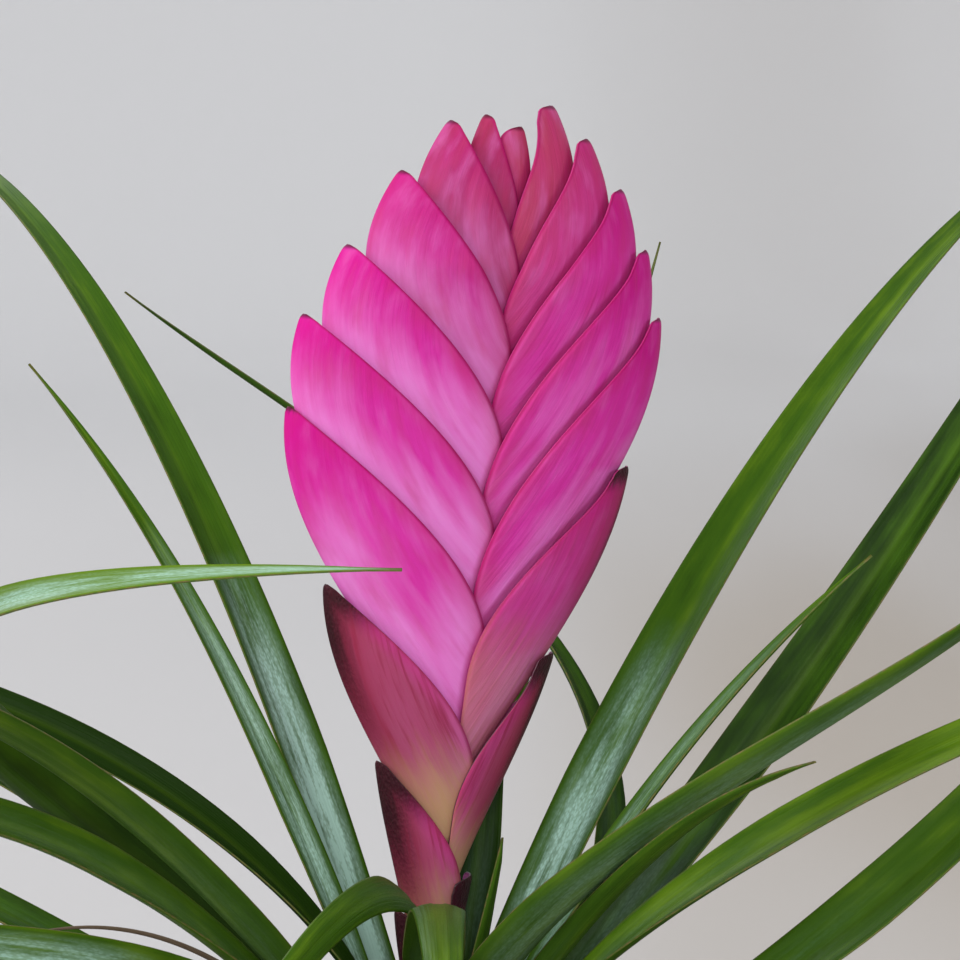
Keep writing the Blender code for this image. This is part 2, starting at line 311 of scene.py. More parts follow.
def make_paper_finish():
    """Pale paper, painted darker near the middle as shade, and warmer and darker in soft patches on
    its right, which are painted shadow.
    """
    made, tree, shader = new_finish("studio_paper", Roughness=0.95, Specular_IOR_Level=0.1)
    place = object_place(tree)
    parts = split(tree, place)
    squares = [calc(tree, "POWER", parts[axis], 2.0) for axis in "XY"]
    away = calc(tree, "SQRT", calc(tree, "ADD", *squares))
    # painted shade: the paper is darker near the middle and lighter on the far floor and wall
    paper = blend(tree, fade(tree, away, 1.1, 3.4), PAPER_NEAR_SHADED, PAPER_FAR)
    # painted shadow: soft warm darker patches on the right of the paper
    patch = cloud(tree, stretched(tree, place, (2.2, 0.5, 0.5), (0.3, 0.0, 0.0)), 1.5, 1.0)
    bearing = calc(tree, "DIVIDE", parts["X"], calc(tree, "ADD", away, 0.6))
    aside = fade(tree, bearing, -0.02, 0.09)
    patchy = fade(tree, patch, 0.30, 0.60, 0.55, 1.0)
    warm_shadow = times(tree, patchy, aside, fade(tree, away, 2.8, 1.0, 0.22, 0.9))
    feed(tree, shader.inputs["Base Color"], blend(tree, warm_shadow, paper, PAPER_WARM_SHADOW))
    return made


def make_sweep():
    """The paper: a flat floor, a round bend and an upright wall, facing inwards."""
    profile = [(0.0, 0.0), (0.6, 0.0), (SWEEP_FLAT, 0.0)]
    for step in range(1, BEND_STEPS + 1):
        turn = 0.5 * math.pi * step / BEND_STEPS
        reach = SWEEP_FLAT + SWEEP_BEND * math.sin(turn)
        profile.append((reach, SWEEP_BEND * (1.0 - math.cos(turn))))
    profile.append((SWEEP_FLAT + SWEEP_BEND, SWEEP_TOP))
    shape = spun([(radius / MM, height / MM) for radius, height in profile], 96)
    if sum(face.normal.z for face in shape.faces) < 0:
        bmesh.ops.reverse_faces(shape, faces=shape.faces)
    sweep = finish_mesh("studio_sweep", shape, make_paper_finish())
    return sweep


def add_lamp(name, place, size, power, colour):
    data = bpy.data.lights.new(name, "AREA")
    data.shape = "DISK"
    data.size = size
    data.energy = power
    data.color = colour
    lamp = bpy.data.objects.new(name, data)
    lamp.location = place
    lamp.rotation_mode = "QUATERNION"
    lamp.rotation_quaternion = (CAMERA_AIM - Vector(place)).to_track_quat("-Z", "Y")
    lamp.visible_camera = False
    bpy.context.scene.collection.objects.link(lamp)
    return lamp


def make_sky(colour, strength):
    world = bpy.data.worlds.new("pale_sky")
    world.use_nodes = True
    sky = world.node_tree.nodes["Background"]
    sky.inputs["Color"].default_value = (*colour, 1.0)
    sky.inputs["Strength"].default_value = strength
    bpy.context.scene.world = world


sweep = make_sweep()
add_lamp("window_lamp", (-1.10, -1.00, 1.25), 1.3, 25.0, (1.0, 0.985, 0.96))
add_lamp("front_lamp", (0.10, -1.60, 0.75), 1.0, 15.0, (0.98, 0.98, 1.0))
add_lamp("back_lamp", (-0.9, 1.5, 1.3), 1.0, 10.0, (0.95, 0.97, 1.0))
make_sky((0.93, 0.95, 1.0), 0.9)
bpy.context.scene.view_settings.view_transform = "Standard"
print("studio: sweep of", len(sweep.data.polygons), "faces")

# %% [markdown]
# ## A sheet bent onto a rule
#
# Leaves and bracts are one kind of thing to a modeller: a flat strip that grows along a rule. A
# grid is bent onto the rule's points and then given its thickness by Solidify, with a weight that
# makes it thin at the margins. Each point also carries numbers, such as how far it is from the
# tip, which the finishes read to colour it.

# %% Bent sheets
UNDERSIDE, MARGIN = 1, 2


def bent_sheet(name, surface, spots, marks, thickness, thin_share, finishes):
    """A grid bent onto rows of points in millimetres. spots holds each point's place on the flat
    blade, and marks holds rows of numbers by name."""
    rows = len(surface) - 1
    columns = len(surface[0]) - 1
    shape = bmesh.new()
    bmesh.ops.create_grid(shape, x_segments=columns, y_segments=rows, size=0.5)
    layers = {mark: shape.verts.layers.float.new(mark) for mark in marks}
    places = {}
    for vertex in shape.verts:
        column = round((vertex.co.x + 0.5) * columns)
        row = round((vertex.co.y + 0.5) * rows)
        places[vertex.index] = (row, column)
        vertex.co = surface[row][column] * MM
        for mark, layer in layers.items():
            vertex[layer] = marks[mark][row][column]
    uv = shape.loops.layers.uv.new("blade")
    for face in shape.faces:
        for loop in face.loops:
            row, column = places[loop.vert.index]
            loop[uv].uv = spots[row][column]
    sheet = finish_mesh(name, shape, *finishes)
    weights = sheet.vertex_groups.new(name="body")
    for index, (row, column) in places.items():
        across = abs(2.0 * column / columns - 1.0)
        to_tip = min(1.0, (rows - row) / 6.0)
        weights.add([index], (1.0 - across**4) * to_tip, "REPLACE")
    solid = sheet.modifiers.new("thickness", "SOLIDIFY")
    solid.thickness = thickness * MM
    solid.offset = -1.0
    solid.vertex_group = "body"
    solid.thickness_vertex_group = thin_share
    solid.material_offset = UNDERSIDE
    solid.material_offset_rim = MARGIN
    return sheet


def dress(piece, node):
    """The piece rides with the plant and stands for its plain solid, which it hides."""
    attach(piece, ROOT)
    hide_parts(node)
    return piece


# %% [markdown]
# ## Shared effects
#
# Both kinds of blade show fine lines that run lengthwise. Noise that is squeezed across the blade
# and drawn out along it gives them, uneven as in a real leaf. It is a node group, so each finish
# uses it with its own count.


# %% Vein group
def make_vein_group():
    """Lengthwise lines: Lines is 0 to 1, and Streaks is a broader, softer share of it."""
    group, given, result = start_group(
        "lengthwise_veins",
        (
            ("Place", "Vector", None), ("Count", "Float", 16.0), ("Drift", "Float", 0.4),
            ("Even", "Float", 0.1),
        ),
        (("Lines", "Float"), ("Streaks", "Float")),
    )
    parts = split(group, given["Place"])
    across = times(group, parts["X"], given["Count"])
    along = times(group, parts["Y"], given["Drift"])
    joined = group.nodes.new("ShaderNodeCombineXYZ")
    feed(group, joined.inputs["X"], across)
    feed(group, joined.inputs["Y"], along)
    wander = cloud(group, joined.outputs[0], 0.35, 2.0)
    turns = scaled(group, across, 2.0 * math.pi, times(group, wander, 14.0))
    wave = times(group, calc(group, "SINE", turns), given["Even"])
    fine = cloud(group, joined.outputs[0], 1.3, 4.0, 0.6)
    lines = calc(group, "ADD", wave, scaled(group, fine, 1.5, -0.25))
    feed(group, result["Lines"], calc(group, "ADD", lines, 0.0, limit=True))
    feed(group, result["Streaks"], fade(group, wander, 0.32, 0.68))
    return group


vein_group = make_vein_group()
print("node group:", vein_group.name)

# %% [markdown]
# ## The leaves
#
# A leaf is a long channel. It starts as a sheath round the crown, rises, leans out and arches over
# under its own weight, and tapers to a fine point. The rule gives every leaf its compass direction,
# length, lean at the base and at the tip, and how it swings or rolls on the way.

# %% Rule of the leaves
GAP = 0.3
SOIL_TOP = 85.0
CROWN_R = 8.5
CROWN_TOP_R = 4.6
CROWN_ABOVE = 24.0
CROWN_TOP = SOIL_TOP + CROWN_ABOVE
LEAF_THICK = 0.7
LEAF_ROWS = 56
LEAF_COLUMNS = 16
ROLL_DONE = 0.35
LEAF_PATTERN_STEP = 7.0
FINE_STEPS = 2
ROUNDED_OVER = ("leaf_front_arched", "leaf_front_hooked")
# From the lowest on the crown up: name, compass, length, lean at base and tip, lateness of the
# bend, swing, roll, width. Lengths are in millimetres and angles in degrees.
LEAVES = (
    ("leaf_back_low", 127.4, 197, 58.7, 118.2, 1.21, -4.7, 21.4, 9.6),
    ("leaf_right_under", 16.2, 220, 66, 116.3, 1, 1.1, 3, 8.8),
    ("leaf_right_low", 335.2, 232, 68.1, 33, 0.57, 70.4, 38.9, 14.9),
    ("leaf_front_low", 254, 230, 68, 118, 1.2, 0, 0, 9),
    ("leaf_left_lowest", 171, 230, 59.8, 96.3, 1.49, -23.4, -25, 9.1),
    ("leaf_front_right", 286, 210, 65, 116, 1.2, 0, 0, 9),
    ("leaf_back_side", 90.7, 230, 55.7, 123.6, 0.99, -1.8, -0.9, 10.7),
    ("leaf_back_swept", 34, 233, 50.9, 55.6, 0.89, 183.1, 19.2, 6.8),
    ("leaf_left_near", 236.9, 220, 47.4, 116.5, 1.01, -56.8, -72.4, 12.5),
    ("leaf_left_under", 153.8, 230, 48.3, 124.1, 1.4, -9, -27.9, 7.6),
    ("leaf_left_low", 203.8, 210, 40.4, 136.8, 1.58, 45.8, -38.9, 13.1),
    ("leaf_right_broad", 10.8, 240, 42.4, 32.9, 0.63, 18.2, 38.4, 14.3),
    ("leaf_left_folded", 217.7, 240, 38.5, 111.3, 1.51, 38.9, 13.2, 10.9),
    ("leaf_right_long", 331, 220, 35.4, 81.7, 0.75, 23.5, 41.2, 11.1),
    ("leaf_front_curled", 176.6, 253, 40.9, 90.4, 1.2, 177.5, 59.8, 12),
    ("leaf_right_short", 316.8, 122, 33.6, 73.8, 1.15, -23.2, -9.2, 7),
    ("leaf_right_tall", 45, 300, 33.5, 82.8, 1.18, 17.9, 8.7, 13.2),
    ("leaf_right_edge", 287.8, 250, 24, 78.7, 0.5, 195.1, -28.4, 13.4),
    ("leaf_right_slim", 355.6, 115, 28, 51.2, 1.55, 12.2, 28.4, 6.2),
    ("leaf_left_tall", 133.4, 300, 27, 99.7, 1.49, -21.4, 0.6, 11.4),
    ("leaf_back_middle", 74.7, 165, 30.8, 71.1, 1.21, -0.9, -4.5, 7.4),
    ("leaf_left_slim", 162.5, 140, 22.7, 45.6, 1.98, -7, -45.4, 6.1),
    ("leaf_back_upright", 76, 152, 26, 15.6, 1.83, -71.5, 5.1, 6),
    ("leaf_front_arched", 272, 150, 21.9, 146.6, 0.95, 0.1, -1.4, 12),
    ("leaf_left_dark", 184, 230, 20.4, 113.7, 0.74, -11.4, -56.7, 7.5),
    ("leaf_scape_back", 53.7, 125, 18.1, -6, 0.8, 8.3, 59.8, 8.8),
    ("leaf_front_small", 324, 40, 15.5, 12, 0.96, -2.5, 10, 5.3),
    ("leaf_front_hooked", 271.7, 168, 8.4, 173.5, 0.79, -50.9, -63, 8),
)


def leaf_base(rank, count):
    """Height and radius where a leaf joins the crown: rank 0 is the lowest."""
    share = rank / (count - 1)
    height = SOIL_TOP + 2.0 + (CROWN_ABOVE - 5.0) * share
    return height, mix(CROWN_R, CROWN_TOP_R, share) + GAP + LEAF_THICK


def leaf_stations(leaf, height, radius, rows):
    """Stations along a leaf's middle: (place, across, up side, share of its length)."""
    name, compass, length, lean_base, lean_tip, bend, swing, roll, width = leaf
    turn = math.radians(compass)
    place = Vector((radius * math.cos(turn), radius * math.sin(turn), height))
    steps = rows * FINE_STEPS
    stations = []
    for step in range(steps + 1):
        share = step / steps
        lean = math.radians(mix(lean_base, lean_tip, share**bend))
        turn = math.radians(compass + swing * share)
        outward = Vector((math.cos(turn), math.sin(turn), 0.0))
        along = outward * math.sin(lean) + Vector((0, 0, math.cos(lean)))
        level = Vector((math.sin(turn), -math.cos(turn), 0.0))
        rolled = math.radians(roll * min(1.0, share / ROLL_DONE))
        across = level * math.cos(rolled) - level.cross(along) * math.sin(rolled)
        if step % FINE_STEPS == 0:
            stations.append((place.copy(), across, across.cross(along), share))
        place += along * length / steps
    return stations


def leaf_half_width(leaf, share):
    """Half the leaf's width: full from the sheath to the middle, then a long taper."""
    sheath = mix(0.75, 1.0, min(1.0, share / 0.2))
    return max(0.5 * leaf[8] * sheath * (1.0 - share**1.8), 0.15)


def leaf_surface(leaf, height, radius, rows, columns):
    """Rows of points: a channel that is deep at the base and opens towards the tip."""
    surface = []
    turned = 1.8 if leaf[0] in ROUNDED_OVER else 0.0
    for place, across, up, share in leaf_stations(leaf, height, radius, rows):
        hollow = 1.0 - turned * clamp((share - 0.08) / 0.22)
        half = leaf_half_width(leaf, share)
        curl = mix(1.0 / (radius + 1.0), 0.75 / half, min(1.0, share / 0.12))
        curl = mix(curl, 0.55 / half, share)
        row = []
        for column in range(columns + 1):
            side = 2.0 * column / columns - 1.0
            angle = side * half * curl
            groove = -0.22 * math.exp(-((side / 0.16) ** 2)) * min(1.0, half / 3.0)
            ribs = 0.05 * math.cos(9.0 * math.pi * side) * min(1.0, half / 3.0)
            lift = hollow * (1.0 - math.cos(angle)) / curl + groove + ribs
            row.append(place + across * math.sin(angle) / curl + up * lift)
        surface.append(row)
    return surface


# %% [markdown]
# ## Finish of the leaves
#
# The upper face is a deep glossy green, yellower in the middle of the channel, with fine lines
# that run along it and tiny pale scales low on the blade. Where the scales catch the light, their
# sheen is painted into the colour as a pale bluish tint. The tone also paints some of the light
# and shade on each leaf. The underside is duller and greyer. The margin is a hair of rusty
# yellow, which is why the rim of the sheet has a finish of its own.

# %% Leaf finishes
LEAF_DEEP = (0.008, 0.025, 0.001)
LEAF_GREEN = (0.032, 0.084, 0.003)
LEAF_FRESH = (0.092, 0.170, 0.005)
# painted reflection: the pale bluish sheen of the leaf scales where they catch the light
LEAF_SCALE_SHEEN = (0.280, 0.450, 0.370)
LEAF_DULL = (0.045, 0.090, 0.022)
LEAF_RUST = (0.120, 0.085, 0.020)
MARGIN_GREEN = (0.050, 0.100, 0.012)
MARGIN_RUST = (0.120, 0.100, 0.030)


def make_leaf_group():
    """Colour of a blade from its place, how far along it lies and the leaf's tone, which in part
    paints the light and shade on it.
    """
    group, given, result = start_group(
        "leaf_colour",
        (
            ("Place", "Vector", None), ("Lines", "Float", 0.5), ("Streaks", "Float", 0.5),
            ("Tone", "Float", 0.5), ("Along", "Float", 0.5), ("Frost", "Float", 0.3),
        ),
        (("Colour", "Color"), ("Frost Mask", "Float")),
    )
    parts = split(group, given["Place"])
    side = calc(group, "ABSOLUTE", scaled(group, parts["X"], 2.0, -1.0))
    patch = cloud(group, stretched(group, given["Place"], (1.5, 0.35, 1.0)), 2.0, 3.0)
    light = scaled(group, patch, 0.8, -0.45)
    light = scaled(group, given["Tone"], 0.9, light)
    light = scaled(group, given["Streaks"], 0.22, light)
    # painted light: the blade grows lighter towards its tip, as if lit through from behind
    light = scaled(group, given["Along"], 0.22, light)
    green = blend(group, fade(group, light, 0.0, 0.55), LEAF_DEEP, LEAF_GREEN)
    green = blend(group, fade(group, light, 0.50, 1.05), green, LEAF_FRESH)
    middle = times(group, fade(group, side, 0.34, 0.0), 0.12)
    # scale sheen: tiny pale scales in lengthwise bands, low on the blade, with the light they catch
    # painted in as a pale bluish sheen
    dots = cells(group, stretched(group, given["Place"], (34.0, 11.0, 1.0)), 1.0)
    bands = cloud(group, stretched(group, given["Place"], (5.0, 0.30, 1.0)), 1.3, 4.0, 0.65)
    inner = fade(group, side, 0.95, 0.25)
    amount = times(group, inner, given["Frost"], fade(group, bands, 0.32, 0.60, 0.15, 1.0))
    dotted = fade(group, dots, 0.75, 0.20, 0.58, 0.95)
    scale_sheen = calc(group, "MULTIPLY", amount, dotted, limit=True)
    edge = times(group, fade(group, side, 0.955, 1.0), 0.25)
    tip = times(group, fade(group, given["Along"], 0.965, 1.0), 0.7)
    colour = lay(
        group, green, (times(group, given["Lines"], 0.20), LEAF_DEEP), (middle, LEAF_FRESH),
        (scale_sheen, LEAF_SCALE_SHEEN), (edge, LEAF_RUST), (tip, LEAF_RUST),
    )
    feed(group, result["Colour"], colour)
    feed(group, result["Frost Mask"], scale_sheen)
    return group


leaf_group = make_leaf_group()


def make_leaf_finish(name, roughness, shift, dull):
    made, tree, shader = new_finish(
        name, Roughness=roughness, Specular_IOR_Level=0.05, Coat_Roughness=0.35,
    )
    place = uv_place(tree, "blade")
    lines = use_group(tree, vein_group, Place=place, Count=13.0, Drift=0.35, Even=0.10)
    look = use_group(
        tree, leaf_group, Place=place, Lines=lines["Lines"], Streaks=lines["Streaks"],
        Tone=calc(tree, "ADD", attribute(tree, "tone"), shift), Along=attribute(tree, "along"),
        Frost=attribute(tree, "scale_sheen"),
    )
    feed(tree, shader.inputs["Base Color"], blend(tree, dull, look["Colour"], LEAF_DULL))
    grain = cloud(tree, stretched(tree, place, (14.0, 5.0, 1.0)), 2.0, 3.0)
    rough = scaled(tree, grain, 0.22, roughness - 0.11)
    feed(tree, shader.inputs["Roughness"], rough)
    feed(tree, shader.inputs["Coat Weight"], times(tree, look["Frost Mask"], 0.5))
    height = scaled(tree, look["Frost Mask"], 0.4, lines["Lines"])
    feed(tree, shader.inputs["Normal"], bumped(tree, height, 0.00015, 0.5))
    return made


def make_leaf_margin():
    made, tree, shader = new_finish("leaf_margin", Roughness=0.6, Specular_IOR_Level=0.2)
    place = uv_place(tree, "blade")
    patch = cloud(tree, stretched(tree, place, (1.0, 2.0, 1.0)), 3.0, 3.0)
    rim = blend(tree, fade(tree, patch, 0.35, 0.65), MARGIN_GREEN, MARGIN_RUST)
    feed(tree, shader.inputs["Base Color"], rim)
    return made


leaf_finishes = (
    make_leaf_finish("leaf_upper_face", 0.38, 0.0, 0.0),
    make_leaf_finish("leaf_underside", 0.48, -0.05, 0.15),
    make_leaf_margin(),
)
print("leaf finishes:", [finish.name for finish in leaf_finishes])

# %% [markdown]
# ## Growing the leaves
#
# The table runs from the lowest, oldest leaf to the highest, and each one sits above the last.
# Each leaf gets a tone of its own, because no two are lit or aged alike.

# %% Tones and scale sheen of the leaves
# tone at the foot and at the tip: 0 is a deep shaded green, 1 a fresh yellow one. Besides each leaf's
# own colour, low tones paint shade on shaded leaves, and high tones at the tip paint light shining
# through
LEAF_TONES = {
    "leaf_left_dark": (-0.45, -0.40), "leaf_left_under": (0.10, 0.15), "leaf_scape_back": (0.0, 0.0),
    "leaf_left_lowest": (0.25, 0.25), "leaf_right_edge": (0.60, 0.70), "leaf_right_short": (0.5, 0.5),
    "leaf_right_long": (0.65, 0.75), "leaf_right_low": (0.35, 0.60), "leaf_front_arched": (0.3, 0.5),
    "leaf_front_curled": (-0.40, 1.30), "leaf_left_near": (0.3, 1.0), "leaf_left_low": (0.45, 0.65),
    "leaf_left_folded": (0.50, 0.65), "leaf_right_tall": (0.38, 0.60), "leaf_right_broad": (0.0, 0.1),
    "leaf_back_middle": (0.05, 0.05), "leaf_back_swept": (0.1, 0.1), "leaf_front_hooked": (0.3, 0.6),
    "leaf_left_tall": (0.25, 0.55),
}
PLAIN_TONE = (0.35, 0.40)
# how much scale sheen (pale scales painted as catching the light), and the shares of the blade
# between which it lies
LEAF_SCALE_SHEENS = {
    "leaf_left_tall": (1.9, 0.0, 0.34), "leaf_left_slim": (1.0, 0.0, 0.75),
    "leaf_right_tall": (1.4, 0.0, 0.31), "leaf_right_broad": (0.15, 0.0, 0.30),
    "leaf_right_slim": (0.5, 0.0, 0.9), "leaf_left_folded": (0.1, 0.0, 0.4),
    "leaf_front_curled": (0.95, 0.52, 2.0), "leaf_left_near": (0.9, 0.3, 2.0),
    "leaf_left_dark": (0.0, 0.0, 0.4), "leaf_right_edge": (0.3, 0.0, 1.0),
    "leaf_left_low": (0.05, 0.0, 0.9), "leaf_front_hooked": (0.0, 0.0, 1.0),
}
PLAIN_SCALE_SHEEN = (0.1, 0.0, 0.4)


def tone_at(name, share):
    return mix(*LEAF_TONES.get(name, PLAIN_TONE), share)


def scale_sheen_at(name, share):
    amount, first, last = LEAF_SCALE_SHEENS.get(name, PLAIN_SCALE_SHEEN)
    past = 1.0 - clamp((share / last - 0.4) / 0.6) ** 1.5
    return amount * clamp((share - first) / 0.06) * past


print("tones:", len(LEAF_TONES), "scale_sheens:", len(LEAF_SCALE_SHEENS))


# %% Grow the leaves
def grow_leaf(leaf, rank):
    name = leaf[0]
    height, radius = leaf_base(rank, len(LEAVES))
    surface = leaf_surface(leaf, height, radius, LEAF_ROWS, LEAF_COLUMNS)
    columns = LEAF_COLUMNS + 1
    spots = []
    marks = {"along": [], "tone": [], "scale_sheen": []}
    for row in range(LEAF_ROWS + 1):
        share = row / LEAF_ROWS
        length = 0.1 * leaf[2] * row / LEAF_ROWS + LEAF_PATTERN_STEP * rank
        spots.append([(column / LEAF_COLUMNS, length) for column in range(columns)])
        marks["along"].append([share] * columns)
        marks["tone"].append([tone_at(name, share)] * columns)
        marks["scale_sheen"].append([scale_sheen_at(name, share)] * columns)
    piece = bent_sheet(name + "_blade", surface, spots, marks, LEAF_THICK, 0.4, leaf_finishes)
    return dress(piece, name)


leaf_pieces = [grow_leaf(leaf, rank) for rank, leaf in enumerate(LEAVES)]
print("leaves grown:", len(leaf_pieces))

# %% [markdown]
# ## A dry leaf
#
# Under the green leaves hangs one that has shrivelled to a brown thread. It is too thin to be a
# solid of its own, so it is grown here alone, by the same rule, and painted brown.

# %% Dry leaf
DRY_LEAF = ("dry_leaf", 166, 80, 30, 108, 1.5, 18, 56, 1.7)
STRAW_DARK = (0.050, 0.035, 0.022)
STRAW_LIGHT = (0.160, 0.115, 0.075)
DRY_COLUMNS = 4


def make_straw_finish():
    made, tree, shader = new_finish("dried_leaf", Roughness=0.8, Specular_IOR_Level=0.15)
    place = uv_place(tree, "blade")
    grain = cloud(tree, stretched(tree, place, (9.0, 2.0, 1.0)), 2.0, 3.0)
    feed(tree, shader.inputs["Base Color"], blend(tree, grain, STRAW_DARK, STRAW_LIGHT))
    feed(tree, shader.inputs["Normal"], bumped(tree, grain, 0.0003, 0.6))
    return made


def grow_dry_leaf():
    surface = leaf_surface(DRY_LEAF, SOIL_TOP + 2.0, CROWN_R + 0.5, LEAF_ROWS, DRY_COLUMNS)
    shares = [column / DRY_COLUMNS for column in range(DRY_COLUMNS + 1)]
    spots = [[(share, 0.15 * row) for share in shares] for row in range(LEAF_ROWS + 1)]
    straw = make_straw_finish()
    piece = bent_sheet("dry_leaf", surface, spots, {}, 0.4, 0.8, (straw, straw, straw))
    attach(piece, ROOT)
    return piece


dry_leaf = grow_dry_leaf()
print("dry leaf of", len(dry_leaf.data.polygons), "faces")

# %% [markdown]
# ## The flower spike
#
# The spike is a flat fan. Its bracts join the stalk left and right in turn, and each one is folded
# round its own keel and wraps the younger ones above it. A rule gives how far the keel stands out,
# where the free margin runs and how deep each bract lies, so that they nest without touching.

# %% Rule of the spike
SPIKE_X = 0.7
SPIKE_Z = 137.7
SPIKE_LEAN = 5.5
SPIKE_TURN = 24.0
SCAPE_BEND = 0.0024
SCAPE_FOOT = -34.0
RACHIS_R_LOW = 3.0
RACHIS_R_HIGH = 0.9
RACHIS_TOP = 108.0
BRACT_THICK = 0.6
BRACT_STEP = 0.93
KEEL_POWER = 1.3
BRACT_ROWS = 44
BRACT_COLUMNS = 44
BRACT_PATTERN_STEP = 9.0
# name, join, tip, reach of the keel, how early it spreads, how dry it is
BRACTS = (
    ("bract_left_1", -28.0, -8.0, 6.8, 0.0, 1.0),
    ("bract_right_1", -22.0, -1.5, 7.2, 0.0, 1.0),
    ("bract_left_2", -14.0, 18.0, 13.0, 0.0, 0.95),
    ("bract_right_2", -6.0, 37.5, 18.8, 0.1, 0.75),
    ("bract_left_3", 4.0, 48.0, 25.4, 0.5, 0.7),
    ("bract_right_3", 13.0, 70.5, 29.6, 0.5, 0.45),
    ("bract_left_4", 23.0, 77.5, 35.0, 0.6, 0.2),
    ("bract_right_4", 32.0, 96.5, 33.2, 0.6, 0.0),
    ("bract_left_5", 41.0, 93.0, 34.8, 1.0, 0.0),
    ("bract_right_5", 49.0, 108.0, 30.8, 1.0, 0.0),
    ("bract_left_6", 57.0, 105.0, 30.0, 1.0, 0.0),
    ("bract_right_6", 65.0, 118.0, 27.0, 1.0, 0.0),
    ("bract_left_7", 72.0, 118.0, 23.2, 1.0, 0.0),
    ("bract_right_7", 79.0, 126.0, 21.2, 1.0, 0.0),
    ("bract_left_8", 86.0, 127.0, 15.5, 1.0, 0.0),
    ("bract_right_8", 92.0, 131.0, 14.0, 1.0, 0.0),
    ("bract_left_9", 98.0, 128.5, 7.0, 1.0, 0.0),
    ("bract_right_9", 103.0, 127.0, 5.6, 1.0, 0.0),
)
LEFT, RIGHT = -1, 1
TIP_WIDE = {LEFT: 1.2, RIGHT: 3.5}
TIP_CORNER = 1.3
TIP_REACH = 14.0
OVERLAP_FRONT = {LEFT: 4.2, RIGHT: -0.4}
OVERLAP_BACK = {LEFT: 1.0, RIGHT: 1.0}


def bract_side(index):
    return LEFT if "left" in BRACTS[index][0] else RIGHT


def spike_point(height, side, front):
    """A place in the spike's own directions: along its axis, across the fan, towards its front."""
    lean = math.radians(SPIKE_LEAN)
    turn = math.radians(SPIKE_TURN)
    axis = Vector((math.sin(lean), 0.0, math.cos(lean)))
    level = Vector((math.cos(lean), 0.0, -math.sin(lean)))
    back = Vector((0.0, 1.0, 0.0))
    across = level * math.cos(turn) + back * math.sin(turn)
    forward = level * math.sin(turn) - back * math.cos(turn)
    foot = Vector((SPIKE_X + SCAPE_BEND * min(0.0, height) ** 2, 0.0, SPIKE_Z))
    return foot + axis * height + across * side + forward * front


def rachis_radius(height):
    share = (height + 30.0) / (RACHIS_TOP + 30.0)
    return mix(RACHIS_R_LOW, RACHIS_R_HIGH, clamp(share))


def layers_at(height):
    """How many bracts have joined the stalk below this height, as a smooth count."""
    if height <= joins[0]:
        return 0.0
    for index in range(len(joins) - 1):
        if height < joins[index + 1]:
            return index + (height - joins[index]) / (joins[index + 1] - joins[index])
    return len(joins) - 1.0


def bract_depth(index, height):
    """How far a bract's wing stands in front of the axis: each lies outside all later ones."""
    return rachis_radius(height) + GAP + BRACT_THICK + BRACT_STEP * (layers_at(height) - index)


def bract_keel(index, height):
    """How far the bract's folded edge stands out to the side of the axis."""
    name, join, tip, reach, early, dry = BRACTS[index]
    share = clamp((height - join) / (tip - join))
    arc = 90.0 + 6.0 * max(0.0, index - 5.5)
    rounded = math.sin(math.radians(arc * share ** mix(1.3, 1.0, early)))
    straight = share**1.15
    start = bract_depth(index, join)
    return start + (reach - start) * mix(straight, rounded, min(1.0, 0.4 + early))


def tip_width(index, below):
    """How much wider than a point the tip is, this far below its top: blunt, like a finger's."""
    wide = TIP_WIDE[bract_side(index)]
    corner = TIP_CORNER
    if bract_side(index) == RIGHT:
        wide += 0.3 * max(0.0, 7.0 - index) + 0.3 * max(0.0, index - 13.0)
    if index == len(BRACTS) - 1:
        corner *= 2.0
    near = 1.0 - min(1.0, below / corner)
    return wide * math.sqrt(1.0 - near**2) * clamp((TIP_REACH - below) / 11.0)


def bract_margin(index, height, overlap):
    """How far to the side the free margin lies: at the keel by the tip, over the middle below."""
    name, join, tip, reach, early, dry = BRACTS[index]
    edge = bract_keel(index, tip)
    below = max(0.0, tip - height)
    opening = 0.66 if bract_side(index) == RIGHT and index < 6 else 0.78
    drop = min(1.0, below / (opening * (tip - join)))
    open_width = (edge + overlap) * math.sin(0.5 * math.pi * drop)
    return edge - math.hypot(open_width, tip_width(index, below))


joins = [bract[1] for bract in BRACTS]
print("spike: bracts join from", min(joins), "to", max(joins), "mm up the stalk")

# %% [markdown]
# ## Numbers for the colour of a bract
#
# A bract is palest where it comes out from under the one below, and deepest at its tip and along
# its free margin. So each point measures how far it is from those lines, in millimetres.


# %% Marks of a bract
def bare_distance(index, height, out, in_front):
    """How far a point lies from the margins of the bracts that wrap this one."""
    overlaps = OVERLAP_FRONT if in_front else OVERLAP_BACK
    nearest = 30.0
    if index >= 2:
        below = BRACTS[index - 2]
        if height < below[2]:
            nearest = bract_margin(index - 2, height, overlaps[bract_side(index - 2)]) - out
        else:
            nearest = math.hypot(height - below[2], max(0.0, bract_keel(index - 2, below[2]) - out))
    if index >= 1 and height < BRACTS[index - 1][2]:
        other = bract_margin(index - 1, height, overlaps[bract_side(index - 1)]) + out
        nearest = min(nearest, other)
    return clamp(nearest, -2.0, 30.0)


